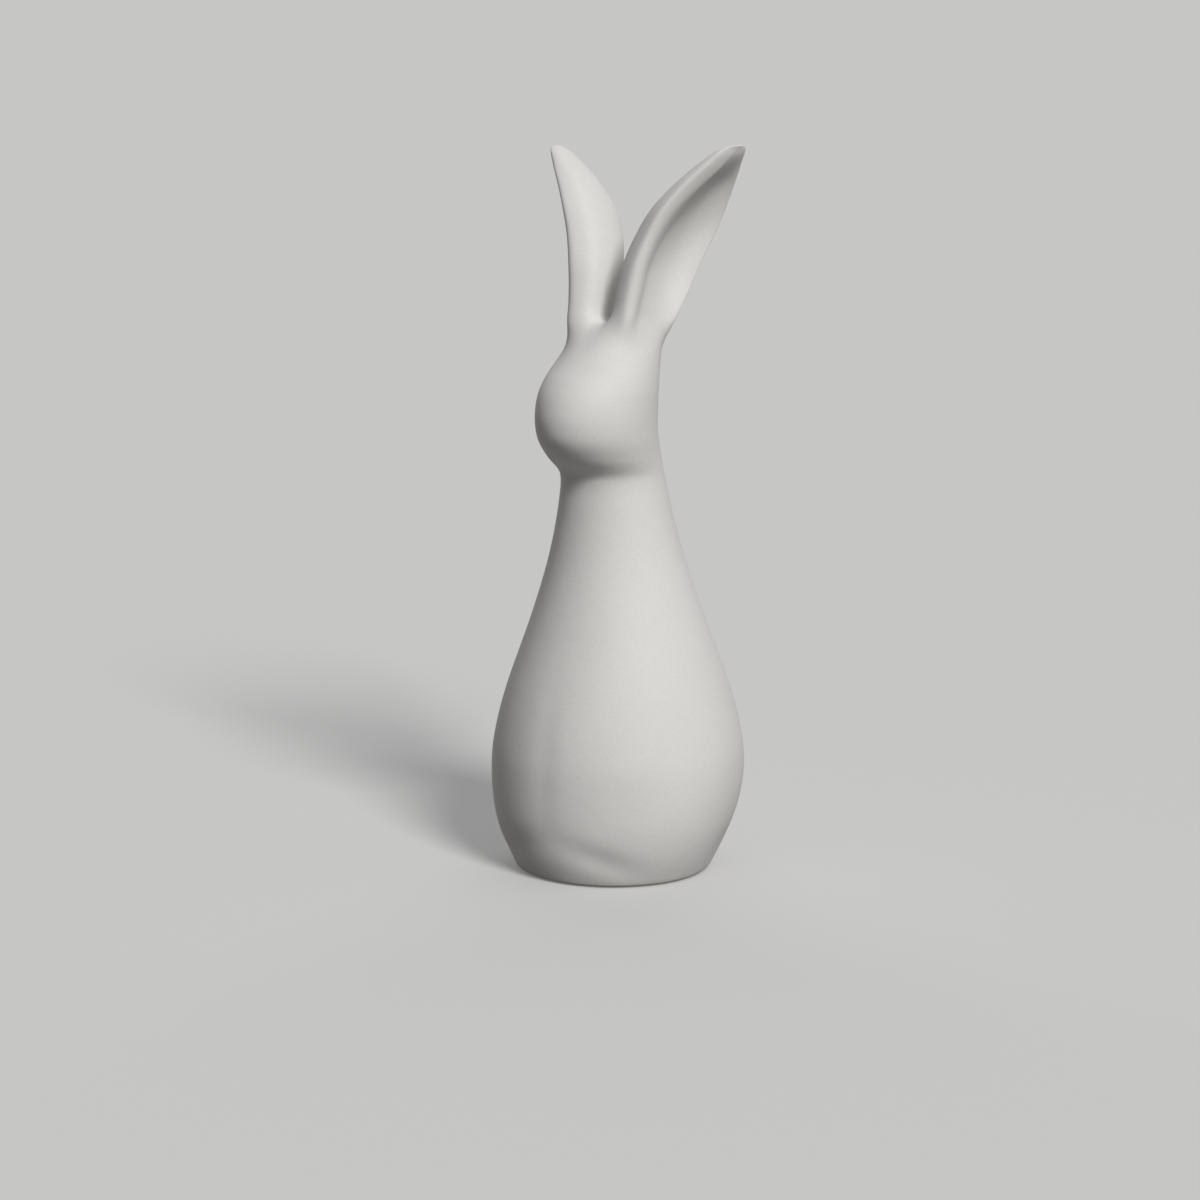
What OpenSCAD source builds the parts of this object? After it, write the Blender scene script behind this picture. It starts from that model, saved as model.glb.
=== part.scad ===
// Rabbit ornament in matte white porcelain: a pear-shaped seated body, an egg-shaped head
// that looks down its chin, and two tall scooped ears set in a V.
// Millimetres. It faces -Y, its own left is +X, and it stands on Z = 0.

/* [Body] */
// Width of the body where it is widest
body_width = 71; // [62:0.5:80]
// Height at which the body is widest
belly_height = 30.5; // [26:0.5:36]
// Height of the joint between neck and head
neck_height = 107; // [98:0.5:114]
// Width of the neck at the joint
neck_width = 29.4; // [26:0.2:33]
// Width of the foot that it stands on
foot_width = 54.4; // [48:0.2:60]
// How far the foot lies in front of the middle
foot_forward = 1.6; // [0:0.1:3]
// How far the belly lies behind the middle
belly_back = 0.8; // [0:0.1:2]
// How far the neck lies in front of the middle
neck_forward = 1.5; // [0:0.1:3]
// Roundness of the flank between belly and foot
foot_curve = 2.15; // [1.8:0.05:2.6]
// How far the figure is set forward, so that its whole depth with the tail is centred
set_forward = 2.4; // [0:0.1:4]

/* [Folded legs] */
// Depth of the hollows above the hind feet
paw_hollow = 1.1; // [0.2:0.1:1.6]
// How far each haunch swells out
haunch_swell = 0.6; // [0:0.1:1.2]
// Depth of the crease down the middle of the chest
chest_crease = 0.3; // [0:0.05:0.8]
// How far the tail stands out
tail_reach = 4.5; // [2:0.5:8]
// Height of the middle of the tail
tail_height = 19; // [14:0.5:24]
// Width of the tail at its root
tail_width = 15; // [11:0.5:20]

/* [Head] */
// Width of the head
head_width = 30.8; // [27:0.2:35]
// Height of the head from the neck joint to the brow
head_height = 37; // [33:0.5:41]
// How far the nose lies in front of the neck
nose_reach = 12.6; // [9:0.1:15]
// How far the nape lies in front of the back of the neck
nape_hollow = 3.7; // [2:0.1:5]
// Height of the crown between brow and ear joints
crown_height = 10; // [8:0.5:12]
// Rise of the saddle between the ears
saddle_rise = 6; // [4:0.5:7]

/* [Ears] */
// Height of an ear above its joint
ear_length = 46; // [38:0.5:56]
// Width of an ear from its front edge to its back edge
ear_width = 27.3; // [24:0.1:30]
// How far the rounded inner side stands off the edges
ear_depth = 10; // [8:0.1:10.5]
// How far the rolled front lip stands out
ear_lip = 2.5; // [1.5:0.1:3]
// Depth of the scoop in the outer side
scoop_depth = 4.8; // [3:0.2:5.4]
// Distance of the ear's root from the middle of the head
ear_spread = 10.2; // [10:0.1:12]
// How far the tip flares out beyond the root
ear_flare = 15.3; // [10:0.5:20]
// How far the root's middle lies behind the middle of the figure
ear_root_back = 2.2; // [1:0.1:3]
// How far the tip is swept back beyond the root
ear_sweep = 19.4; // [15:0.2:24]

/* [Casting] */
// Wall of the hollow castings
wall = 4; // [3:0.25:5]
// Width of the unglazed ring round the underside
foot_ring = 5.5; // [4:0.25:7]
// Depth of the recess inside that ring
recess_depth = 1.6; // [1:0.1:2.5]
// Rounding of the foot's outer edge
foot_edge = 0.7; // [0.4:0.1:1.2]
// Width of the vent through the underside
vent_width = 3.5; // [2.5:0.25:3.75]

/* [Felt pads] */
// Width of a pad
pad_width = 9; // [7:0.5:10]
// How far the pads hold the foot ring off the table
pad_stand = 0.4; // [0.2:0.1:0.8]
// Distance from the middle of the vent to the middle of a pad
pad_distance = 15; // [13:0.5:16]

/* [Hidden] */
$fa = 4;
$fs = 0.4;

// Points round the body and the head, and round an ear
around = 56;
half_around = around / 2;
// Rings up the body, up the head, up the crown, and down each cavity
body_rings = 32;
head_rings = 15;
crown_rings = 5;
cavity_rings = 10;
// Rings near the foot lie closer together
foot_crowding = 1.35;

foot_half = foot_width / 2;
belly_half = body_width / 2;
neck_half = neck_width / 2;
head_half = head_width / 2;
brow_height = neck_height + head_height;
ear_joint_height = brow_height + crown_height;
floor_height = pad_stand + recess_depth + wall;
recess_half = foot_half - foot_ring;

// From the belly (first) to the neck (last): the share of the belly's extra width that is left
flank_shares = [1, 0.94, 0.82, 0.66, 0.49, 0.335, 0.195, 0.085, 0];

// From the neck joint (first) to the brow (last), in equal steps of height
// Half-width as a share of half the head's width
cheek_shares = [0.96, 0.925, 0.95, 0.985, 1, 1, 0.98, 0.925, 0.85];
// Face line as a share of the nose's reach
face_shares = [0, 0.1, 0.57, 0.89, 1, 0.98, 0.84, 0.53, 0.12];
// Nape line as a share of the nape's hollow
nape_shares = [0, 0.2, 0.46, 0.82, 1, 0.97, 0.84, 0.6, 0.25];

// Rows up an ear, as shares of its own sizes: height, front edge and back edge off the ear's
// slanted middle line, lip, scoop, and place of the lip's crest between front and back
ear_row_shares = [
    [0,     0.41,  0.4,   1,    0.27, 0.14],
    [0.15,  0.455, 0.44,  1,    0.55, 0.13],
    [0.31,  0.485, 0.455, 0.95, 0.82, 0.115],
    [0.48,  0.485, 0.465, 0.85, 0.96, 0.1],
    [0.63,  0.465, 0.42,  0.75, 1,    0.11],
    [0.76,  0.41,  0.34,  0.7,  0.90, 0.15],
    [0.865, 0.32,  0.25,  0.7,  0.62, 0.24],
    [0.935, 0.25,  0.18,  0.7,  0.28, 0.38],
    [0.975, 0.19,  0.13,  0.6,  0,    0.5],
    [0.994, 0.11,  0.08,  0.40, 0,    0.55],
    [1,     0.03,  0.03,  0.10, 0,    0.50]
];
// The rolled lip in front of its crest: place, share of its height
lip_shares = [[0, -0.5], [0.3, 0.55]];
// The scoop between the lip's crest (0) and the back edge (1): place, share of its depth
scoop_shares = [[0.1, 0.2], [0.2, 0.6], [0.42, 1], [0.76, 0.74]];
// The rounded inner side from back edge to front edge: place, share of its depth
inner_side_shares = [[1, 0.3], [0.93, 0.66], [0.75, 0.94], [0.52, 1], [0.29, 0.84], [0.1, 0.5]];
// Direction that an ear's scoop faces, turned out from straight ahead
ear_turn = 73;
// How late the flare sets in
flare_curve = 2.4;
// Points of the brow from the middle of the forehead to an ear's front edge, and on to its back edge
crown_front = 3;
crown_outer = 17;
// Part of each row's step that gets its own ring
ear_steps = [3, 3, 3, 3, 3, 3, 2, 2, 1, 1];

// Folded legs: turn from straight ahead, half-spread in degrees
paw_turn = 29;
paw_spread = 15;
haunch_turn = 68;
haunch_spread = 24;
flank_turn = 106;
flank_spread = 11;
crease_spread = 6;
// The hollow above a foot leans outward as it goes down, in degrees over its whole height
paw_lean = 26;
// Heights and half-heights as shares of the belly's height
paw_level_share = 0.27;
paw_reach_share = 0.17;
haunch_level_share = 0.55;
haunch_reach_share = 0.45;
crease_level_share = 1.1;
crease_reach_share = 0.6;

color_porcelain = "#e8e5e0";
color_felt = "#cfcac2";

// Value at u along a list of numbers or points, smooth through every entry
function smooth_at(list, u) =
    let (last = len(list) - 1, i = max(0, min(floor(u), last - 1)), f = u - i)
    let (b = list[i], c = list[i + 1])
    let (a = i > 0 ? list[i - 1] : 2 * b - c, d = i < last - 1 ? list[i + 2] : 2 * c - b)
    (2 * b + (c - a) * f + (2 * a - 5 * b + 4 * c - d) * f * f
        + (3 * b - a - 3 * c + d) * f * f * f) / 2;

// The same, with the list spread evenly over 0 to 1
function share_at(list, t) = smooth_at(list, t * (len(list) - 1));

// The same, and level at the first entry
function level_share_at(list, t) = smooth_at(concat([list[1]], list), 1 + t * (len(list) - 1));

// Points at some places along a closed outline that is smooth through every corner
function smooth_loop(corners, places) =
    let (k = len(corners))
    [for (u = places)
        let (i = floor(u))
        let (near = [for (o = [-1 : 2]) corners[(i + o + k) % k]])
        smooth_at(near, 1 + u - i)];

function bell(t) = exp(-t * t);
function between(low, high, t) = low + (high - low) * t;

// The body, as a pear that is round at every height
function body_half(z) =
    z < belly_height
    ? between(foot_half, belly_half,
        1 - pow(1 - (z - pad_stand) / (belly_height - pad_stand), foot_curve))
    : between(neck_half, belly_half,
        level_share_at(flank_shares, (z - belly_height) / (neck_height - belly_height)));

function body_middle(z) =
    z < belly_height
    ? belly_back - (belly_back + foot_forward) * (1 + cos(180 * z / belly_height)) / 2
    : belly_back
        - (belly_back + neck_forward) * pow((z - belly_height) / (neck_height - belly_height), 3);

// How far the modelled surface stands off the plain pear shape, at a turn from the front
function body_relief(turn, z) =
    let (side = turn > 180 ? 360 - turn : turn, level = z / belly_height)
    let (paw_drop = (level - paw_level_share) / paw_reach_share)
    let (paw_side = (side - paw_turn + paw_lean * paw_drop / 2) / paw_spread)
    haunch_swell * bell((side - haunch_turn) / haunch_spread)
        * bell((level - haunch_level_share) / haunch_reach_share)
    - paw_hollow * bell(paw_side) * bell(paw_drop)
    - paw_hollow / 2 * bell((side - flank_turn) / flank_spread) * bell(paw_drop)
    - chest_crease * bell(side / crease_spread)
        * bell((level - crease_level_share) / crease_reach_share)
    + tail_reach * bell((180 - side) * PI / 180 * body_half(z) / (tail_width / 2))
        * bell((z - tail_height) / (tail_width / 2));

function body_ring(z, inset = 0, relief = true) =
    [for (j = [0 : around - 1])
        let (turn = 360 * j / around)
        let (r = body_half(z) - inset + (relief ? body_relief(turn, z) : 0))
        [r * sin(turn), body_middle(z) - r * cos(turn), z]];

// The head, up to the brow
neck_front = -neck_forward - neck_half;
neck_back = neck_half - neck_forward;
function head_at(z) =
    let (t = (z - neck_height) / head_height)
    let (front = neck_front - nose_reach * share_at(face_shares, t))
    let (back = neck_back - nape_hollow * share_at(nape_shares, t))
    let (fit = (neck_half - head_half * cheek_shares[0]) * pow(1 - t, 4))
    [head_half * share_at(cheek_shares, t) + fit, (back - front) / 2, (front + back) / 2];

function head_point(z, turn, inset = 0) =
    let (h = head_at(z))
    [(h[0] - inset) * sin(turn), h[2] - (h[1] - inset) * cos(turn), z];

function head_ring(z, inset = 0) =
    [for (j = [0 : around - 1]) head_point(z, 360 * j / around, inset)];

// Places along an ear's outline: even ones, and ones that suit the head below it, where the
// outer side of the ear is only a small part of the round
outer_corners = len(lip_shares) + len(scoop_shares) + 1;
inner_corners = len(inner_side_shares) + 1;
even_places = [for (j = [0 : around - 1]) j * (outer_corners + inner_corners) / around];
crown_places = [for (j = [0 : around - 1])
    let (k = (j - crown_front + around) % around)
    k < crown_outer
    ? outer_corners * k / crown_outer
    : outer_corners + inner_corners * (k - crown_outer) / (around - crown_outer)];

// An ear, as a closed outline at row u of its table
function ear_ring(u, places = even_places) =
    let (row = smooth_at(ear_row_shares, u))
    let (middle = ear_root_back + ear_sweep * row[0])
    let (front = middle - ear_width * row[1], width = ear_width * (row[1] + row[2]))
    let (out = ear_spread + ear_flare * pow(max(0, row[0]), flare_curve))
    let (lip = ear_lip * row[3], scoop = scoop_depth * row[4], crest = row[5])
    let (depth = ear_depth * (row[1] + row[2]))
    let (corners = concat(
        [for (p = lip_shares) [p[0] * crest, p[1] * lip]],
        [[crest, lip]],
        [for (p = scoop_shares)
            [between(crest, 1, p[0]), lip * (1 - p[0]) - scoop * p[1]]],
        [[1, 0]],
        [for (p = inner_side_shares) [p[0], -depth * p[1]]]))
    [for (p = smooth_loop(corners, places))
        let (along = front + width * p[0], off = out + p[1])
        [off * sin(ear_turn) + along * cos(ear_turn),
            along * sin(ear_turn) - off * cos(ear_turn),
            ear_joint_height + ear_length * row[0]]];

// A point on the curve that leaves one point and arrives at another in chosen directions
function bridge(from, leave, to, arrive, t) =
    (1 + 2 * t) * (1 - t) * (1 - t) * from + t * (1 - t) * (1 - t) * leave
        + t * t * (3 - 2 * t) * to + t * t * (t - 1) * arrive;

// How the head's side runs for each unit of height, just under the brow
probe = head_height / 40;
function brow_slope(turn) =
    (head_point(brow_height, turn) - head_point(brow_height - probe, turn)) / probe;

// The saddle between the ears, from the forehead to the back: place, share of its rise
saddle_shares = [
    [0, 0], [0.08, 0.31], [0.16, 0.61], [0.24, 0.87], [0.39, 1], [0.6, 1], [0.76, 0.98],
    [0.89, 0.85], [0.975, 0.54], [1, 0]
];

// Where the crown begins: half of the brow, then back over the saddle to the forehead
function crown_start(turn) =
    turn <= 180
    ? head_point(brow_height, turn)
    : let (p = share_at(saddle_shares, (360 - turn) / 180))
        between(head_point(brow_height, 0), head_point(brow_height, 180), p[0]) + [0, 0, saddle_rise * p[1]];

// The crown, from its start (0) up to an ear's joint (1)
function crown_ring(t) =
    let (top = ear_ring(0, crown_places), above = ear_ring(0.2, crown_places))
    [for (j = [0 : around - 1])
        let (turn = 360 * j / around, rise = crown_height * brow_slope(turn))
        let (on_brow = max(0, min(1, 0.7 + 0.7 * sin(turn))))
        let (sideways = 1.5 * top[j][0] + crown_height * on_brow)
        let (leave = on_brow * rise + (1 - on_brow) * [sideways, 0, 0])
        let (arrive = (above[j] - top[j]) * crown_height / (above[j][2] - top[j][2]))
        bridge(crown_start(turn), leave, top[j], arrive, t)];

function middle_of(ring) = [for (p = ring) 1] * ring / len(ring);

// Faces between two rings, given as lists of point numbers
function strip(low, high, flip = false) =
    [for (j = [0 : len(low) - 1])
        let (k = (j + 1) % len(low), a = low[j], b = low[k], c = high[j], d = high[k])
        each flip ? [[a, d, c], [a, b, d]] : [[a, c, d], [a, d, b]]];

// Faces between a ring and one point in its middle
function fan(ring, centre, flip = false) =
    [for (j = [0 : len(ring) - 1])
        let (k = (j + 1) % len(ring))
        flip ? [centre, ring[k], ring[j]] : [centre, ring[j], ring[k]]];

// The numbers of the points of ring k, where every ring has the same count
function ring_numbers(k, first = 0) = [for (j = [0 : around - 1]) first + k * around + j];

function strips(last) = [for (k = [0 : last - 1]) each strip(ring_numbers(k), ring_numbers(k + 1))];

// A closed solid through a chain of rings, with a flat cap at each end
module lofted(rings) {
    last = len(rings) - 1;
    count = len(rings) * around;
    polyhedron(
        concat([for (r = rings) each r], [middle_of(rings[0]), middle_of(rings[last])]),
        concat(strips(last), fan(ring_numbers(0), count), fan(ring_numbers(last), count + 1, true)));
}

overrun = 1;
foot_middle = body_middle(pad_stand);

module placed() {
    translate([0, -set_forward, 0])
    children();
}

// Slip-cast pot: outside up from the foot, over the neck's rim, and down the cavity
module body_shell() {
    flank = pad_stand + foot_edge;
    corner = wall / 2;
    outside = [for (i = [0 : body_rings])
        body_ring(between(flank, neck_height, pow(i / body_rings, foot_crowding)))];
    inside = [for (i = [0 : cavity_rings])
        body_ring(between(neck_height, floor_height + corner, i / cavity_rings), wall, false)];
    color(color_porcelain)
    placed()
    difference() {
        lofted(concat(
            [body_ring(pad_stand, foot_edge, false)],
            outside,
            inside,
            [body_ring(floor_height, wall + corner, false)]));
        translate([0, foot_middle, pad_stand - overrun]) {
            cylinder(r = recess_half, h = recess_depth + overrun);
            cylinder(d = vent_width, h = floor_height - pad_stand + 2 * overrun);
        }
    }
}

// Slip-cast head: down the cavity, over the rim, up the face, and over the saddle to both ear joints
module head_shell() {
    ceiling = brow_height + saddle_rise - 2 * wall;
    inside = [for (i = [1 : cavity_rings])
        let (q = cos(90 * i / cavity_rings), z = between(neck_height, ceiling, q))
        let (h = head_at(z), dome = sqrt(1 - pow(q, 4)))
        [for (j = [0 : around - 1])
            let (turn = 360 * j / around)
            [(h[0] - wall) * dome * sin(turn), h[2] - (h[1] - wall) * dome * cos(turn), z]]];
    outside = [for (i = [0 : head_rings]) head_ring(between(neck_height, brow_height, i / head_rings))];
    chain = concat(inside, outside);
    crown = [for (i = [1 : crown_rings]) crown_ring(i / crown_rings)];
    mirrored = [for (r = crown) [for (p = r) [-p[0], p[1], p[2]]]];
    brow = (len(chain) - 1) * around;
    saddle = brow + around;
    left = saddle + half_around - 1;
    right = left + crown_rings * around;
    centres = right + crown_rings * around;
    saddle_line = [for (j = [half_around + 1 : around - 1]) saddle + j - half_around - 1];
    left_start = concat([for (j = [0 : half_around]) brow + j], saddle_line);
    right_start = concat([for (j = [0 : half_around]) brow + (around - j) % around], saddle_line);
    color(color_porcelain)
    placed()
    polyhedron(
        concat(
            [for (r = chain) each r],
            [for (j = [half_around + 1 : around - 1]) crown_start(360 * j / around)],
            [for (r = crown) each r],
            [for (r = mirrored) each r],
            [middle_of(chain[0]), middle_of(crown[crown_rings - 1]), middle_of(mirrored[crown_rings - 1])]),
        concat(
            fan(ring_numbers(0), centres),
            strips(len(chain) - 1),
            strip(left_start, ring_numbers(0, left)),
            [for (k = [0 : crown_rings - 2]) each strip(ring_numbers(k, left), ring_numbers(k + 1, left))],
            fan(ring_numbers(crown_rings - 1, left), centres + 1, true),
            strip(right_start, ring_numbers(0, right), true),
            [for (k = [0 : crown_rings - 2])
                each strip(ring_numbers(k, right), ring_numbers(k + 1, right), true)],
            fan(ring_numbers(crown_rings - 1, right), centres + 2)));
}

// Pressed solid ear, standing on its joint at the crown
module ear() {
    rows = [for (k = [0 : len(ear_steps) - 1], i = [0 : ear_steps[k] - 1]) k + i / ear_steps[k]];
    lofted([for (u = concat(rows, [len(ear_steps)])) ear_ring(u)]);
}

module left_ear() {
    color(color_porcelain)
    placed()
    ear();
}

module right_ear() {
    color(color_porcelain)
    placed()
    mirror([1, 0, 0])
    ear();
}

// Felt disc glued into the recess, at a turn from the front
module foot_pad(turn) {
    color(color_felt)
    placed()
    translate([pad_distance * sin(turn), foot_middle - pad_distance * cos(turn), 0])
    cylinder(d = pad_width, h = pad_stand + recess_depth);
}

body_shell();
head_shell();
left_ear();
right_ear();
foot_pad(0);  // foot_pad_front
foot_pad(120);  // foot_pad_left
foot_pad(240);  // foot_pad_right
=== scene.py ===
import math

import bmesh
import bpy
import numpy as np
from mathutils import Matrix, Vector


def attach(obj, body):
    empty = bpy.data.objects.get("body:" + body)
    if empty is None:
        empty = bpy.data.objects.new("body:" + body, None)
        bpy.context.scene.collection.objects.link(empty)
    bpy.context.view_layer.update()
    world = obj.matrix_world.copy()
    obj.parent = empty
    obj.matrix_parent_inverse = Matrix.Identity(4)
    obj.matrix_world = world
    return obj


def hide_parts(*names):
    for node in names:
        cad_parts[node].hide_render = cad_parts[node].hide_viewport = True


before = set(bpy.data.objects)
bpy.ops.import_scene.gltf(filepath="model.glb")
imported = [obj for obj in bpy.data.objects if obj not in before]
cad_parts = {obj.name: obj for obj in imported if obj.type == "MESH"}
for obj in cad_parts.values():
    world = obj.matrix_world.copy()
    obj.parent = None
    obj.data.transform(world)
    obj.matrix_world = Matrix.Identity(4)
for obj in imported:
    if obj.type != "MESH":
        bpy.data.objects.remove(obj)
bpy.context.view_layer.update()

# Camera: a long lens level with the ear tips, looking slightly down, a little over a third of the
# way from the rabbit's front to its left side. Its aim is in pixels of the picture.
camera_turn = math.radians(35)
camera_distance = 0.7282
camera_height = 0.1987
figure_middle = -0.0024
sensor_width = 36
picture_pixels, lens_pixels = 1200, 2650
aim_down, aim_aside = 450, 17
camera_data = bpy.data.cameras.new("camera")
camera_data.sensor_width = sensor_width
camera_data.lens = sensor_width * lens_pixels / picture_pixels
camera_data.clip_start = 0.01
camera = bpy.data.objects.new("camera", camera_data)
bpy.context.scene.collection.objects.link(camera)
camera.location = (
    camera_distance * math.sin(camera_turn),
    figure_middle - camera_distance * math.cos(camera_turn),
    camera_height,
)
camera.rotation_euler = (
    math.radians(90) - math.atan(aim_down / lens_pixels),
    0,
    camera_turn + math.atan(aim_aside / lens_pixels),
)
bpy.context.scene.camera = camera

# Body: a slip-cast pot, matte white porcelain about 4 mm thick. The legs, the crease of the chest
# and the tail are low relief that came with the mould. It is luted to the head rim to rim, and the
# seams are sponged away before firing, so the two run into each other without a line.
around = 168
turns = np.arange(around) * 360 / around
set_forward = 2.4
wall = 4
body_width, belly_height, neck_height, neck_width = 71, 30.5, 107, 29.4
foot_width, foot_forward, belly_back, neck_forward, foot_curve = 54.4, 1.6, 0.8, 1.5, 2.15
foot_ring, recess_depth, foot_edge, vent_width, pad_stand = 5.5, 1.6, 0.7, 3.5, 0.4
haunch_swell, paw_hollow, flank_hollow, chest_crease = 0.6, 0.8, 0.55, 0.3
tail_reach, tail_height, tail_spread = 4.5, 19, 7.5
head_width, head_height, nose_reach, nape_hollow = 30.8, 37, 12.6, 3.7
seam_reach, seam_rows = 3, 12


def sine(degrees):
    return np.sin(np.radians(degrees))


def cosine(degrees):
    return np.cos(np.radians(degrees))


def bell(t):
    """1 at 0, and fading softly to 0 on both sides."""
    return np.exp(-t * t)


def ease(t):
    """0 up to 0 and 1 from 1 on, with a soft rise between."""
    t = np.clip(t, 0, 1)
    return t * t * (3 - 2 * t)


def along(values, t):
    """Value at 0 to 1 along evenly spaced values, smooth through every one."""
    v = np.asarray(values, float)
    v = np.concatenate([[2 * v[0] - v[1]], v, [2 * v[-1] - v[-2]]])
    u = t * (len(v) - 3)
    i = int(np.clip(np.floor(u), 0, len(v) - 4))
    f = u - i
    a, b, c, d = v[i : i + 4]
    return (
        2 * b + (c - a) * f + (2 * a - 5 * b + 4 * c - d) * f**2 + (3 * b - a - 3 * c + d) * f**3
    ) / 2


def bridge(start, leave, end, arrive, t):
    """A point on the curve that leaves one point and arrives at another in chosen directions."""
    return (
        (1 + 2 * t) * (1 - t) ** 2 * start
        + t * (1 - t) ** 2 * leave
        + t * t * (3 - 2 * t) * end
        + t * t * (t - 1) * arrive
    )


def plain_half(z):
    """Half the body's width at a height, from a few rows."""
    if z < belly_height:
        rise = (z - pad_stand) / (belly_height - pad_stand)
        return foot_width / 2 + (body_width - foot_width) / 2 * (1 - (1 - rise) ** foot_curve)
    extra = along(
        [0.94, 1, 0.94, 0.82, 0.66, 0.49, 0.335, 0.195, 0.085, 0],
        (1 + 8 * (z - belly_height) / (neck_height - belly_height)) / 9,
    )
    return neck_width / 2 + (body_width - neck_width) / 2 * extra


# The pear's outline without the slight changes of curve where its rows meet
profile_step, smooth_reach = 0.25, 28
profile_heights = np.arange(pad_stand, neck_height + 0.3, profile_step)
plain = np.array([plain_half(z) for z in profile_heights])
weights = bell(np.arange(-smooth_reach, smooth_reach + 1) / (smooth_reach / 2))
weights /= weights.sum()
below = 2 * plain[0] - plain[smooth_reach:0:-1]
above = 2 * plain[-1] - plain[-2 : -smooth_reach - 2 : -1]
even = np.convolve(np.concatenate([below, plain, above]), weights, "valid")
blend = ease((profile_heights - 7) / 8) * ease((neck_height - 4 - profile_heights) / 8)
profile = plain + (even - plain) * blend


def body_half(z):
    """Half the body's width at a height, evened out."""
    return float(np.interp(z, profile_heights, profile))


def body_middle(z):
    """How far back the body's middle lies at a height."""
    if z < belly_height:
        return belly_back - (belly_back + foot_forward) * (1 + cosine(180 * z / belly_height)) / 2
    rise = (z - belly_height) / (neck_height - belly_height)
    return belly_back - (belly_back + neck_forward) * rise**3


def body_relief(z):
    """The mould's low relief, placed by degrees from the front and shares of the belly's height."""
    side = np.where(turns > 180, 360 - turns, turns)
    level = z / belly_height
    paw = (level - 0.27) / 0.17
    off_tail = np.radians(180 - side) * body_half(z)
    swell = haunch_swell * bell((side - 68) / 24) * bell((level - 0.55) / 0.45)
    hollow = paw_hollow * bell((side - 29 + 13 * paw) / 15) * bell(paw)
    flank = flank_hollow * bell((side - 106) / 11) * bell(paw)
    crease = chest_crease * bell(side / 6) * bell((level - 1.1) / 0.6)
    tail = tail_reach * bell(off_tail / tail_spread) * bell((z - tail_height) / tail_spread)
    return swell - hollow - flank - crease + tail


def body_ring(z, inset=0, relief=1):
    """The body's outline at a height, or one that is inset from it."""
    r = body_half(z) - inset + relief * body_relief(z)
    return np.stack(
        [r * sine(turns), body_middle(z) - r * cosine(turns), np.full(around, z)], axis=1
    )


def head_ring(z, inset=0):
    """The head's outline at a height, or one that is inset from it."""
    t = (z - neck_height) / head_height
    cheek = along([0.96, 0.925, 0.95, 0.985, 1, 1, 0.98, 0.925, 0.85], t) * head_width / 2
    cheek += (neck_width - 0.96 * head_width) / 2 * (1 - t) ** 4
    front = -neck_forward - neck_width / 2
    front -= nose_reach * along([0, 0.1, 0.57, 0.89, 1, 0.98, 0.84, 0.53, 0.12], t)
    back = neck_width / 2 - neck_forward
    back -= nape_hollow * along([0, 0.2, 0.46, 0.82, 1, 0.97, 0.84, 0.6, 0.25], t)
    return np.stack(
        [
            (cheek - inset) * sine(turns),
            (front + back) / 2 - ((back - front) / 2 - inset) * cosine(turns),
            np.full(around, z),
        ],
        axis=1,
    )


def neck_ring(z):
    """The outside from the throat down to the chest, with the seam sponged into a soft hollow."""
    low, high = neck_height - seam_reach, neck_height + seam_reach
    if z <= low:
        return body_ring(z)
    if z >= high:
        return head_ring(z)
    small = 0.01
    return bridge(
        body_ring(low),
        (high - low) * (body_ring(low) - body_ring(low - small)) / small,
        head_ring(high),
        (high - low) * (head_ring(high + small) - head_ring(high)) / small,
        (z - low) / (high - low),
    )


def strip(low, high):
    """Faces between two rings of point numbers."""
    return np.stack([low, np.roll(low, -1), np.roll(high, -1), high], axis=1)


def ring_strips(rows, first=0):
    rings = first + np.arange(rows * around).reshape(rows, around)
    return np.concatenate([strip(rings[k], rings[k + 1]) for k in range(rows - 1)])


def surface_normals(points, quads):
    first, second, third, fourth = (points[quads[:, corner]] for corner in range(4))
    across = np.cross(third - first, fourth - second)
    total = np.zeros_like(points)
    for corner in range(4):
        np.add.at(total, quads[:, corner], across)
    return total / np.maximum(np.linalg.norm(total, axis=1, keepdims=True), 1e-12)


def build_piece(name, points, skin, normals, inner, caps, sharp_rings, material):
    """A mesh object from millimetre points. The skin's normals run on over the joints, and the
    edges of the rings at those joints are sharp."""
    mesh = bpy.data.meshes.new(name)
    quads = np.concatenate([skin, inner])
    used = np.unique(np.concatenate([quads.ravel(), np.ravel(caps).astype(int)]))
    renumber = np.zeros(len(points), int)
    renumber[used] = np.arange(len(used))
    faces = renumber[quads].tolist() + [tuple(int(renumber[v]) for v in face) for face in caps]
    placed = (points[used] + [0, -set_forward, 0]) / 1000
    mesh.from_pydata(placed.tolist(), [], faces)
    mesh.shade_smooth()
    sharp = set()
    for ring in sharp_rings:
        for a, b in zip(renumber[ring], renumber[np.roll(ring, -1)]):
            sharp.add((min(int(a), int(b)), max(int(a), int(b))))
    for edge in mesh.edges:
        if tuple(sorted(edge.vertices)) in sharp:
            edge.use_edge_sharp = True
    custom = np.zeros((len(mesh.loops), 3))
    corner_points = skin.reshape(-1)
    custom[: len(corner_points)] = normals[corner_points]
    mesh.normals_split_custom_set(custom.tolist())
    mesh.materials.append(material)
    mesh.validate(clean_customdata=False)
    obj = bpy.data.objects.new(name, mesh)
    bpy.context.scene.collection.objects.link(obj)
    return obj


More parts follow.
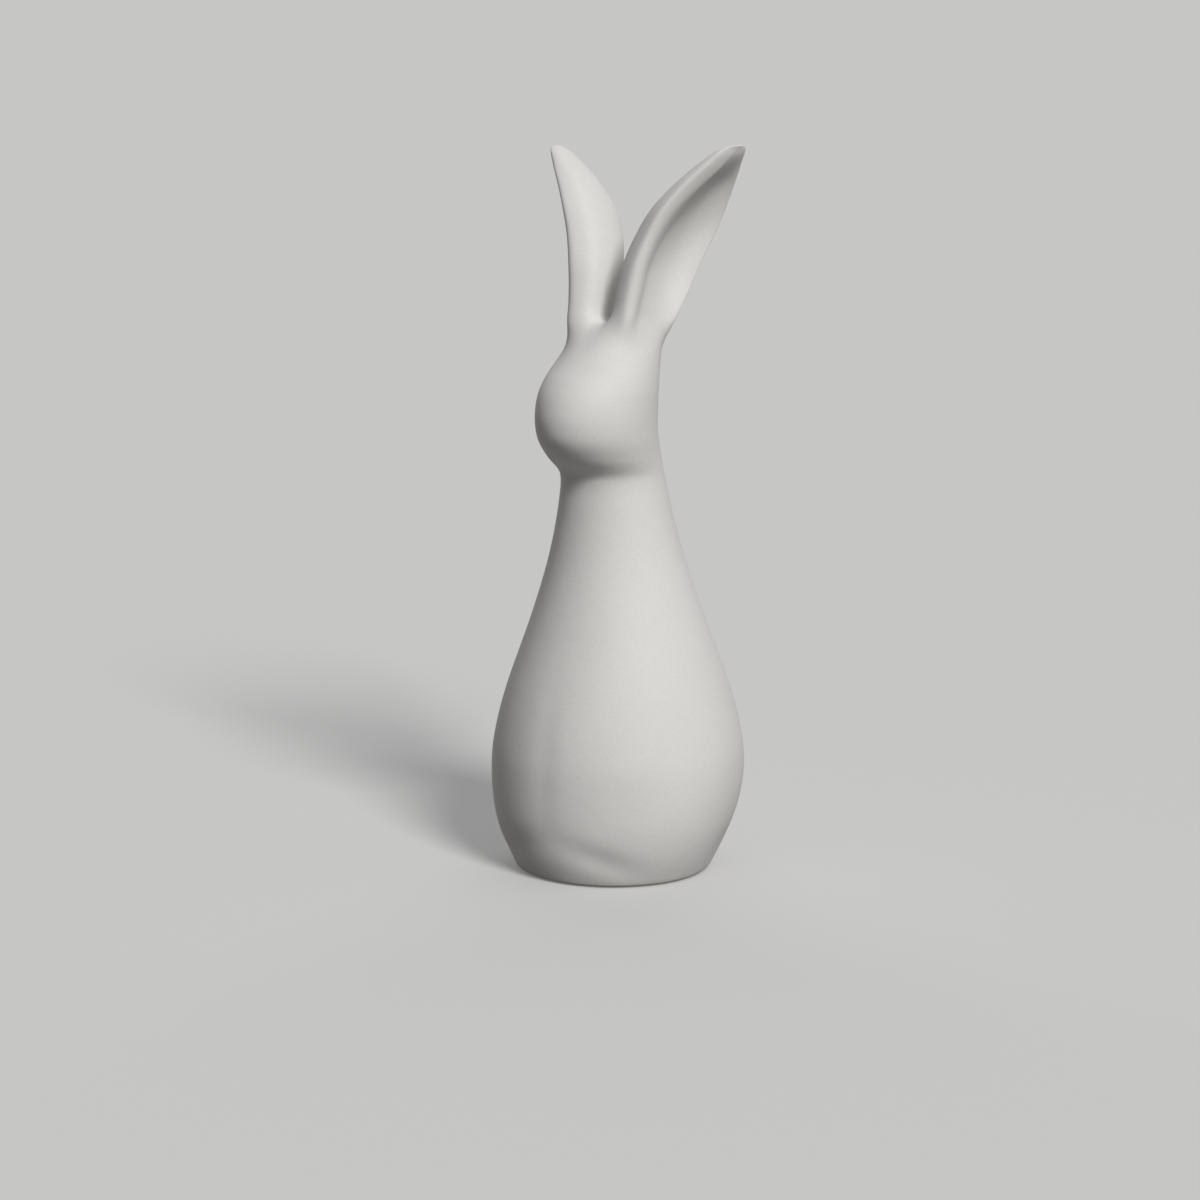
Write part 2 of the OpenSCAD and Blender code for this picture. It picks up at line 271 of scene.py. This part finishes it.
def porcelain(name, foot=False):
    """Unglazed white porcelain: a fine dry grain, the faint waviness that a sponge leaves, a few
    pores, and on the foot the grey of a ring that has been rubbed flat."""
    material = bpy.data.materials.new(name)
    material.use_nodes = True
    nodes, links = material.node_tree.nodes, material.node_tree.links
    shader = nodes["Principled BSDF"]
    shader.inputs["Specular IOR Level"].default_value = 0.35
    place = nodes.new("ShaderNodeTexCoord")

    def noise(scale, detail, roughness=0.5):
        node = nodes.new("ShaderNodeTexNoise")
        node.inputs["Scale"].default_value = scale
        node.inputs["Detail"].default_value = detail
        node.inputs["Roughness"].default_value = roughness
        links.new(place.outputs["Object"], node.inputs["Vector"])
        return node.outputs["Fac"]

    def ramp(value, stops):
        node = nodes.new("ShaderNodeValToRGB")
        node.color_ramp.elements[0].position, node.color_ramp.elements[0].color = stops[0]
        node.color_ramp.elements[1].position, node.color_ramp.elements[1].color = stops[1]
        links.new(value, node.inputs["Fac"])
        return node.outputs["Color"]

    def multiply(first, second, amount=1.0):
        node = nodes.new("ShaderNodeMix")
        node.data_type = "RGBA"
        node.blend_type = "MULTIPLY"
        node.inputs["Factor"].default_value = amount
        links.new(first, node.inputs["A"])
        links.new(second, node.inputs["B"])
        return node.outputs["Result"]

    cloud = ramp(noise(28, 3), [(0.3, (0.745, 0.73, 0.705, 1)), (0.7, (0.785, 0.772, 0.75, 1))])
    grain = ramp(noise(1600, 2), [(0.3, (0.955, 0.955, 0.955, 1)), (0.65, (1, 1, 1, 1))])
    pores = ramp(noise(520, 1), [(0.18, (0.97, 0.968, 0.965, 1)), (0.24, (1, 1, 1, 1))])
    colour = multiply(multiply(cloud, grain), pores)
    if foot:
        split = nodes.new("ShaderNodeSeparateXYZ")
        links.new(place.outputs["Object"], split.inputs["Vector"])
        height = nodes.new("ShaderNodeMapRange")
        height.inputs["From Min"].default_value = 0.0006
        height.inputs["From Max"].default_value = 0.0022
        links.new(split.outputs["Z"], height.inputs["Value"])
        rubbed = ramp(height.outputs["Result"], [(0, (0.86, 0.84, 0.8, 1)), (1, (1, 1, 1, 1))])
        colour = multiply(colour, rubbed)
    links.new(colour, shader.inputs["Base Color"])
    dry = nodes.new("ShaderNodeMapRange")
    dry.inputs["To Min"].default_value = 0.58
    dry.inputs["To Max"].default_value = 0.74
    links.new(noise(60, 4), dry.inputs["Value"])
    links.new(dry.outputs["Result"], shader.inputs["Roughness"])

    def bump(height, distance, strength, under=None):
        node = nodes.new("ShaderNodeBump")
        node.inputs["Distance"].default_value = distance
        node.inputs["Strength"].default_value = strength
        links.new(height, node.inputs["Height"])
        if under is not None:
            links.new(under, node.inputs["Normal"])
        return node.outputs["Normal"]

    wavy = bump(noise(140, 2), 0.00025, 0.35)
    grainy = bump(noise(2600, 3, 0.6), 0.00005, 0.6, wavy)
    links.new(grainy, shader.inputs["Normal"])
    return material


edge_steps, flank_rows, inner_rows = 8, 170, 24
flank_bottom, seam_bottom = pad_stand + foot_edge, neck_height - seam_reach
skin_heights = np.concatenate(
    [
        flank_bottom + (seam_bottom - flank_bottom) * np.linspace(0, 1, flank_rows) ** 1.2,
        np.linspace(seam_bottom, neck_height, seam_rows)[1:],
    ]
)
foot_rings = []
for k in range(edge_steps):
    q = 90 * k / edge_steps
    full = body_ring(flank_bottom - foot_edge * cosine(q))
    inset = foot_edge * (1 - sine(q))
    foot_rings.append(full - inset * np.stack([sine(turns), -cosine(turns), 0 * turns], axis=1))
skin_rings = foot_rings + [neck_ring(z) for z in skin_heights]
floor_height = pad_stand + recess_depth + wall
inner_heights = np.linspace(neck_height, floor_height + wall / 2, inner_rows)
inner_rings = [body_ring(z, wall, 0) for z in inner_heights]
inner_rings.append(body_ring(floor_height, wall * 1.5, 0))
foot_middle = body_middle(pad_stand)


def round_ring(radius, z):
    """A true circle on the foot's middle."""
    return np.stack(
        [radius * sine(turns), foot_middle - radius * cosine(turns), np.full(around, z)], axis=1
    )


vent = vent_width / 2
recess = foot_width / 2 - foot_ring
recess_edge = 0.35
inner_rings += [
    round_ring(vent, floor_height),
    round_ring(vent, pad_stand + recess_depth + recess_edge),
    round_ring(vent + recess_edge, pad_stand + recess_depth),
    round_ring(recess - recess_edge, pad_stand + recess_depth),
    round_ring(recess, pad_stand + recess_depth - recess_edge),
    round_ring(recess, pad_stand + recess_edge),
    round_ring(recess + recess_edge, pad_stand),
]
rows = len(skin_rings)
inside = len(inner_rings)
points = np.concatenate(skin_rings + inner_rings)
skin = ring_strips(rows)
foot_line = np.arange(around)
rim = foot_line + (rows - 1) * around
last_ring = foot_line + (rows + inside - 1) * around
inner = np.concatenate([ring_strips(inside + 1, (rows - 1) * around), strip(last_ring, foot_line)])
just_past = 0.2
beyond = np.concatenate([points, neck_ring(neck_height + just_past)])
past_rim = strip(rim, foot_line + len(points))
normals = surface_normals(beyond, np.concatenate([skin, past_rim]))
body = build_piece(
    "body", points, skin, normals, inner, [], [rim, rim + around, foot_line],
    porcelain("porcelain_body", foot=True),
)
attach(body, "root")
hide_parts("body_shell")

# Head: slip-cast in one with the crown, the same porcelain as the body. The face is plain, with no
# eyes. Two stubs rise from the crown, where the ears are luted on.
crown_height, saddle_rise = 10, 6
ear_length, ear_width, ear_depth, ear_lip, scoop_depth = 46, 27.3, 10, 2.5, 4.8
ear_spread, ear_flare, ear_root_back, ear_sweep, ear_turn, flare_curve = 10.2, 15.3, 2.2, 19.4, 73, 2.4
brow_height = neck_height + head_height
joint_height = brow_height + crown_height
# Up an ear: height, front edge and back edge off the middle line, lip, scoop, place of the lip's
# crest, and how wide it rolls off into the scoop
ear_rows = np.array([
    [0,     0.355, 0.4,   1,    0.45, 0.13,  1.1],
    [0.15,  0.395, 0.44,  1,    0.8,  0.125, 1.2],
    [0.31,  0.445, 0.455, 0.95, 1.05, 0.115, 1.25],
    [0.48,  0.455, 0.465, 0.85, 1.05, 0.12,  1.4],
    [0.63,  0.445, 0.42,  0.85, 0.9,  0.17,  1.75],
    [0.76,  0.38,  0.34,  0.88, 0.65, 0.26,  1.9],
    [0.865, 0.298, 0.25,  0.85, 0.15, 0.37,  1.6],
    [0.935, 0.235, 0.18,  0.7,  -0.08, 0.42, 1.2],
    [0.975, 0.18,  0.135, 0.4,  -0.04, 0.46, 1],
    [0.994, 0.1,   0.075, 0.3,  0,    0.5,   1],
    [1,     0.03,  0.03,  0.1,  0,    0.5,   1],
])
# Corners of the section: the lip in front of its crest, the scoop behind it, the round inner side
lip_shape = [(0, -0.6), (0.12, 0.64)]
scoop_shape = np.array([(0.1, 0.22), (0.2, 0.6), (0.61, 0.9), (0.86, 0.58)])
inner_shape = [(1, 0.3), (0.93, 0.66), (0.75, 0.94), (0.52, 1), (0.27, 0.88), (0.06, 0.62)]
corner_count, outer_corners = 14, 7
# The points of the crown's ring where an ear's front edge starts, and how many its outer side takes
crown_front, crown_outer = around * 3 // 56, around * 17 // 56
number = np.arange(around)
steps_on = (number - crown_front) % around
inner_corners = corner_count - outer_corners
crown_places = np.where(
    steps_on < crown_outer,
    outer_corners * steps_on / crown_outer,
    outer_corners + inner_corners * (steps_on - crown_outer) / (around - crown_outer),
)


def ear_ring(u, places):
    """An ear's outline at row u of its table, at some places round it (0 to 14)."""
    share, ahead, behind, lip, scoop, crest, roll = [
        along(column, u / (len(ear_rows) - 1)) for column in ear_rows.T
    ]
    width = ear_width * (ahead + behind)
    front = ear_root_back + ear_sweep * share - ear_width * ahead
    out = ear_spread + ear_flare * max(0, share) ** flare_curve
    lip, scoop, depth = lip * ear_lip, scoop * scoop_depth, ear_depth * (ahead + behind)
    corners = [(p * crest, h * lip) for p, h in lip_shape] + [(crest, lip)]
    rolled = scoop_shape * [[roll, 1], [roll, 1], [1, 1], [1, 1]]
    corners += [(crest + (1 - crest) * p, lip * (1 - p) - scoop * s) for p, s in rolled]
    corners += [(1, 0)] + [(p, -depth * s) for p, s in inner_shape]
    c = np.array(corners)
    i = np.floor(places).astype(int)
    f = (places - i)[:, None]
    p0, p1, p2, p3 = (c[(i + k) % len(c)] for k in (-1, 0, 1, 2))
    line = (
        2 * p1 + (p2 - p0) * f + (2 * p0 - 5 * p1 + 4 * p2 - p3) * f**2
        + (3 * p1 - p0 - 3 * p2 + p3) * f**3
    ) / 2
    chord, off = front + width * line[:, 0], out + line[:, 1]
    return np.stack(
        [
            off * sine(ear_turn) + chord * cosine(ear_turn),
            chord * sine(ear_turn) - off * cosine(ear_turn),
            np.full(len(places), joint_height + ear_length * share),
        ],
        axis=1,
    )


# The crown starts on half of the brow and on the saddle that runs back to front between the ears
brow = head_ring(brow_height)
brow_step = 0.9
rise = (brow - head_ring(brow_height - brow_step)) / brow_step
half = around // 2
saddle_line = np.array([
    (0, 0), (0.08, 0.31), (0.16, 0.61), (0.24, 0.87), (0.39, 1),
    (0.6, 1), (0.76, 0.98), (0.89, 0.85), (0.975, 0.54), (1, 0),
])
over = [(360 - turn) / 180 for turn in turns[half + 1 :]]
place = np.array([along(saddle_line[:, 0], t) for t in over])[:, None]
lift = np.array([along(saddle_line[:, 1], t) for t in over])[:, None]
saddle = brow[0] + (brow[half] - brow[0]) * place + [0, 0, saddle_rise] * lift
crown_start = np.concatenate([brow[: half + 1], saddle])
fine_rows = np.concatenate(
    [np.linspace(0, 7, 110), np.linspace(7, 9, 24)[1:], np.linspace(9, 10, 14)[1:]]
)
turned = np.roll(number * corner_count / around, crown_front)
offset = (crown_places - turned + corner_count / 2) % corner_count - corner_count / 2
ear_rings = [ear_ring(u, (turned + offset * (1 - ease(u / 4))) % corner_count) for u in fine_rows]
ear_root, ear_above = ear_rings[0], ear_ring(0.2, crown_places)
on_brow = np.clip(0.7 + 0.7 * sine(turns), 0, 1)
sideways = (1 - on_brow) * (1.5 * ear_root[:, 0] + crown_height * on_brow)
leave = crown_height * rise * on_brow[:, None] + sideways[:, None] * [1, 0, 0]
arrive = (ear_above - ear_root) * crown_height / (ear_above - ear_root)[:, 2:]
crown_steps = 28
shares = [k / crown_steps for k in range(1, crown_steps)]
left_crown = [bridge(crown_start, leave, ear_root, arrive, share) for share in shares]
left_side = left_crown + ear_rings
mirror = np.array([-1, 1, 1])
seam_top, face_rows = neck_height + seam_reach, 80
skin_heights = np.concatenate(
    [
        np.linspace(neck_height, seam_top, seam_rows)[:-1],
        np.linspace(seam_top, brow_height, face_rows),
    ]
)
skin_rings = [neck_ring(z) for z in skin_heights]
rows = len(skin_rings)
side_rows = len(left_side)
first_saddle = rows * around
first_left = first_saddle + half - 1
first_right = first_left + side_rows * around
points = np.concatenate(
    skin_rings + [saddle] + left_side + [ring * mirror for ring in left_side]
    + [neck_ring(neck_height - just_past)]
)
brow_numbers = (rows - 1) * around + number
saddle_numbers = first_saddle + np.arange(half - 1)
left_start = np.concatenate([brow_numbers[: half + 1], saddle_numbers])
right_start = np.concatenate([brow_numbers[(around - np.arange(half + 1)) % around], saddle_numbers])
skin = np.concatenate(
    [
        ring_strips(rows),
        strip(left_start, first_left + number),
        ring_strips(crown_steps, first_left),
        strip(right_start, first_right + number)[:, ::-1],
        ring_strips(crown_steps, first_right)[:, ::-1],
    ]
)
above_joints = first_left + (crown_steps - 1) * around
left_ear_skin = ring_strips(len(ear_rings), above_joints)
right_ear_skin = ring_strips(len(ear_rings), above_joints + side_rows * around)[:, ::-1]
past_rim = strip(first_right + side_rows * around + number, number)
whole_skin = np.concatenate([skin, left_ear_skin, right_ear_skin, past_rim])


def fan(ring, centre):
    """Triangles from a ring to one point in its middle, facing the way the ring turns."""
    return [(int(a), int(b), centre) for a, b in zip(ring, np.roll(ring, -1))]


def sponge(points, quads, weight, rounds):
    """Rubs a surface smooth, more where weight is more."""
    edges = np.concatenate([quads[:, [0, 1]], quads[:, [1, 2]], quads[:, [2, 3]], quads[:, [3, 0]]])
    edges = np.unique(np.sort(edges, axis=1), axis=0)
    count = np.bincount(edges.reshape(-1), minlength=len(points))[:, None]
    for _ in range(rounds):
        total = np.stack(
            [
                np.bincount(edges[:, 0], points[edges[:, 1], k], len(points))
                + np.bincount(edges[:, 1], points[edges[:, 0], k], len(points))
                for k in range(3)
            ],
            axis=1,
        )
        points = points + weight[:, None] * (total / np.maximum(count, 1) - points)
    return points


# Crown and ear roots are sponged as one, after the valley between them is filled, so the seams of
# the luted ears don't show. The ears above them are sponged lightly, and their tips a little more.
# The valley's floor is a line of places front to back and heights.
crown_rounds, valley_rounds, ear_rounds, tip_rounds = 140, 120, 24, 60
valley_line = np.array([
    (-15.6, 144.4), (-14.1, 147.1), (-12.6, 149.5), (-11.4, 151.1), (-10.2, 152.1), (-8.6, 152.6),
    (-6, 152.6), (0, 151.8), (5, 150.6), (9, 149), (12, 140),
])
height = points[:, 2].copy()
ear_top = joint_height + ear_length
off_middle = abs(points[:, 0])
crown_weight = 0.5 * ease((height - brow_height + 6) / 4) * (1 - ease((height - joint_height - 1) / 6))
crown_weight *= 1 - 0.8 * ease((off_middle - 7) / 3)
valley = np.interp(points[:, 1], valley_line[:, 0], valley_line[:, 1])
valley += 0.26 * off_middle**2 * ease((points[:, 1] + 10) / 4)
near_middle = 1 - ease((off_middle - 3.5) / 2.5)
points[:, 2] += near_middle * (height > brow_height - 1) * np.maximum(valley - height, 0)
points = sponge(points, whole_skin, crown_weight, crown_rounds)
valley_weight = crown_weight * bell(points[:, 0] / 5)
points = sponge(points, whole_skin, valley_weight, valley_rounds)
ear_weight = 0.5 * ease((height - joint_height) / 4) * ease((ear_top - 0.2 - height) / 1.5)
points = sponge(points, whole_skin, ear_weight, ear_rounds)
tip_weight = 0.5 * ease((height - joint_height - 0.85 * ear_length) / 4)
tip_weight *= ease((ear_top - 0.02 - height) / 0.8)
points = sponge(points, whole_skin, tip_weight, tip_rounds)
normals = surface_normals(points, whole_skin)
inner_rings = [head_ring(neck_height, wall)]
ceiling, dome_rows = brow_height + saddle_rise - 2 * wall, 16
for k in range(1, dome_rows + 1):
    climb = sine(90 * k / (dome_rows + 0.5))
    ring = head_ring(neck_height + (ceiling - neck_height) * climb, wall)
    middle = ring.mean(axis=0)
    dome = math.sqrt(1 - climb**4)
    inner_rings.append(middle + (ring - middle) * [dome, dome, 1])
left_top = above_joints + number
right_top = left_top + side_rows * around
inner_first = len(points)
tops = [points[left_top].mean(axis=0), points[right_top].mean(axis=0), inner_rings[-1].mean(axis=0)]
all_points = np.concatenate([points, *inner_rings, tops])
centre = len(all_points) - 3
inner = np.concatenate(
    [ring_strips(len(inner_rings), inner_first)[:, ::-1], strip(inner_first + number, number)]
)
last_inner = inner_first + (len(inner_rings) - 1) * around + number
caps = fan(left_top, centre) + fan(right_top[::-1], centre + 1) + fan(last_inner[::-1], centre + 2)
joint_rings = [number, inner_first + number, left_top, right_top]
head = build_piece(
    "head", all_points, skin, normals, inner, caps, joint_rings, porcelain("porcelain_head")
)
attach(head, "root")
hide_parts("head_shell")

# Ears: solid, pressed in a mould and luted on the crown's stubs. Each is a blade that stands on its
# edge and faces outward: a rolled lip in front, a scoop that fades out towards the root and the
# tip, a thin back edge, and a full round inner side. The right ear is the left one's mirror image.
ear_count = len(ear_rings) * around
ear_slice = slice(above_joints, above_joints + ear_count)
ear_points, ear_normals = points[ear_slice], normals[ear_slice]
ear_skin = left_ear_skin - above_joints
tip_ring = ear_count - around + number
ear_middles = [ear_points[number].mean(axis=0), ear_points[tip_ring].mean(axis=0)]
ear_points = np.concatenate([ear_points, ear_middles])
no_inner = np.zeros((0, 4), int)
caps = fan(number[::-1], ear_count) + fan(tip_ring, ear_count + 1)
left_ear = build_piece(
    "ear_left", ear_points, ear_skin, ear_normals, no_inner, caps, [number],
    porcelain("porcelain_left_ear"),
)
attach(left_ear, "root")
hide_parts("left_ear")

mirrored_caps = [face[::-1] for face in caps]
right_ear = build_piece(
    "ear_right", ear_points * mirror, ear_skin[:, ::-1], ear_normals * mirror, no_inner, mirrored_caps,
    [number], porcelain("porcelain_right_ear"),
)
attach(right_ear, "root")
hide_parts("right_ear")

# Felt pads: punched discs of pressed wool felt, 2 mm thick, glued into the foot's recess so that
# they stand a little below the foot ring. The cut edge is soft and a little frayed.
pad_radius, pad_distance, pad_height = 4.5, 15, pad_stand + recess_depth
felt = bpy.data.materials.new("felt")
felt.use_nodes = True
nodes, links = felt.node_tree.nodes, felt.node_tree.links
shader = nodes["Principled BSDF"]
shader.inputs["Roughness"].default_value = 0.95
shader.inputs["Sheen Weight"].default_value = 0.35
shader.inputs["Sheen Roughness"].default_value = 0.6
place = nodes.new("ShaderNodeTexCoord")
fibres = nodes.new("ShaderNodeTexNoise")
fibres.inputs["Scale"].default_value = 900
fibres.inputs["Detail"].default_value = 6
fibres.inputs["Distortion"].default_value = 2.5
links.new(place.outputs["Object"], fibres.inputs["Vector"])
tint = nodes.new("ShaderNodeValToRGB")
tint.color_ramp.elements[0].position = 0.3
tint.color_ramp.elements[0].color = (0.46, 0.43, 0.39, 1)
tint.color_ramp.elements[1].position = 0.7
tint.color_ramp.elements[1].color = (0.66, 0.63, 0.58, 1)
links.new(fibres.outputs["Fac"], tint.inputs["Fac"])
links.new(tint.outputs["Color"], shader.inputs["Base Color"])
nap = nodes.new("ShaderNodeBump")
nap.inputs["Distance"].default_value = 0.0002
nap.inputs["Strength"].default_value = 0.8
links.new(fibres.outputs["Fac"], nap.inputs["Height"])
links.new(nap.outputs["Normal"], shader.inputs["Normal"])

pad_corners, pad_rounding, fray = 64, 0.4, 0.03
for pad_name, pad_turn in (("front", 0), ("left", 120), ("right", 240)):
    shape = bmesh.new()
    bmesh.ops.create_circle(shape, cap_ends=True, segments=pad_corners, radius=pad_radius)
    cut_edge = shape.edges[:]
    raised = bmesh.ops.extrude_face_region(shape, geom=shape.faces[:], use_keep_orig=True)["geom"]
    lifted = [part for part in raised if isinstance(part, bmesh.types.BMVert)]
    bmesh.ops.translate(shape, verts=lifted, vec=(0, 0, pad_height))
    bmesh.ops.recalc_face_normals(shape, faces=shape.faces[:])
    bmesh.ops.bevel(
        shape, geom=cut_edge, offset=pad_rounding, affect="EDGES", segments=4, profile=0.5, material=-1
    )
    flat_faces = [face for face in shape.faces if abs(face.normal.z) > 0.99]
    bmesh.ops.inset_region(shape, faces=flat_faces, thickness=pad_rounding)
    for order, corner in enumerate(shape.verts):
        reach = corner.co.xy.length
        if reach > pad_radius - pad_rounding / 2:
            wobble = fray * (1 + math.sin(7 * order + pad_turn)) / 2
            corner.co.xy *= 1 - wobble / reach
    pad_place = (
        pad_distance * sine(pad_turn),
        foot_middle - set_forward - pad_distance * cosine(pad_turn),
        0,
    )
    bmesh.ops.translate(shape, verts=shape.verts[:], vec=pad_place)
    bmesh.ops.scale(shape, verts=shape.verts[:], vec=(0.001, 0.001, 0.001))
    mesh = bpy.data.meshes.new(f"felt_pad_{pad_name}")
    shape.to_mesh(mesh)
    shape.free()
    mesh.shade_smooth()
    mesh.materials.append(felt)
    pad = bpy.data.objects.new(f"felt_pad_{pad_name}", mesh)
    bpy.context.scene.collection.objects.link(pad)
    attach(pad, "root")
    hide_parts(f"foot_pad_{pad_name}")

# Floor and light: a plain pale floor, one soft lamp from above on the camera's right, a weak wide
# one from behind, and a pale surround. Light on its way to the object meets a dark floor and a dim
# surround, so the porcelain keeps its shading.
floor_half = 6


def background_rays(nodes, links):
    """1 for rays of the camera, of reflections and through glass, 0 for light on its way to the object."""
    path = nodes.new("ShaderNodeLightPath")
    total = path.outputs["Is Camera Ray"]
    for kind in ("Is Glossy Ray", "Is Transmission Ray"):
        add = nodes.new("ShaderNodeMath")
        add.operation = "ADD"
        add.use_clamp = True
        links.new(total, add.inputs[0])
        links.new(path.outputs[kind], add.inputs[1])
        total = add.outputs["Value"]
    return total


shape = bmesh.new()
bmesh.ops.create_grid(shape, x_segments=1, y_segments=1, size=floor_half)
floor_mesh = bpy.data.meshes.new("floor")
shape.to_mesh(floor_mesh)
shape.free()
floor = bpy.data.objects.new("floor", floor_mesh)
bpy.context.scene.collection.objects.link(floor)
paint = bpy.data.materials.new("floor_paint")
paint.use_nodes = True
nodes, links = paint.node_tree.nodes, paint.node_tree.links
nodes.remove(nodes["Principled BSDF"])
pale, glow, dark = (nodes.new(f"ShaderNode{kind}") for kind in ("BsdfDiffuse", "Emission", "BsdfDiffuse"))
pale.inputs["Color"].default_value = (0.578, 0.574, 0.567, 1)
glow.inputs["Color"].default_value = (0.9, 0.9, 0.89, 1)
glow.inputs["Strength"].default_value = 0.153
dark.inputs["Color"].default_value = (0.16, 0.155, 0.15, 1)
both, choice = (nodes.new(f"ShaderNode{kind}") for kind in ("AddShader", "MixShader"))
links.new(pale.outputs["BSDF"], both.inputs[0])
links.new(glow.outputs["Emission"], both.inputs[1])
links.new(background_rays(nodes, links), choice.inputs["Fac"])
links.new(dark.outputs["BSDF"], choice.inputs[1])
links.new(both.outputs["Shader"], choice.inputs[2])
links.new(choice.outputs["Shader"], nodes["Material Output"].inputs["Surface"])
floor_mesh.materials.append(paint)


def sun_lamp(name, strength, softness, turn, elevation):
    """A far lamp, turned from the rabbit's front towards its left and raised, in degrees."""
    lamp_data = bpy.data.lights.new(name, "SUN")
    lamp_data.angle = math.radians(softness)
    lamp_data.energy = strength
    lamp = bpy.data.objects.new(name, lamp_data)
    bpy.context.scene.collection.objects.link(lamp)
    turn, elevation = math.radians(turn), math.radians(elevation)
    level = math.cos(elevation)
    direction = Vector((math.sin(turn) * level, -math.cos(turn) * level, math.sin(elevation)))
    lamp.rotation_euler = direction.to_track_quat("Z", "Y").to_euler()


sun_lamp("key", strength=2.5, softness=18, turn=62, elevation=36)
sun_lamp("fill", strength=0.8, softness=70, turn=215, elevation=28)
world = bpy.data.worlds.new("surround")
bpy.context.scene.world = world
world.use_nodes = True
nodes, links = world.node_tree.nodes, world.node_tree.links
ambient = nodes["Background"]
ambient.inputs["Color"].default_value = (0.9, 0.92, 0.95, 1)
ambient.inputs["Strength"].default_value = 0.17
backdrop = nodes.new("ShaderNodeBackground")
backdrop.inputs["Color"].default_value = (0.567, 0.566, 0.56, 1)
choice = nodes.new("ShaderNodeMixShader")
links.new(background_rays(nodes, links), choice.inputs["Fac"])
links.new(ambient.outputs["Background"], choice.inputs[1])
links.new(backdrop.outputs["Background"], choice.inputs[2])
links.new(choice.outputs["Shader"], nodes["World Output"].inputs["Surface"])
bpy.context.scene.view_settings.view_transform = "Standard"
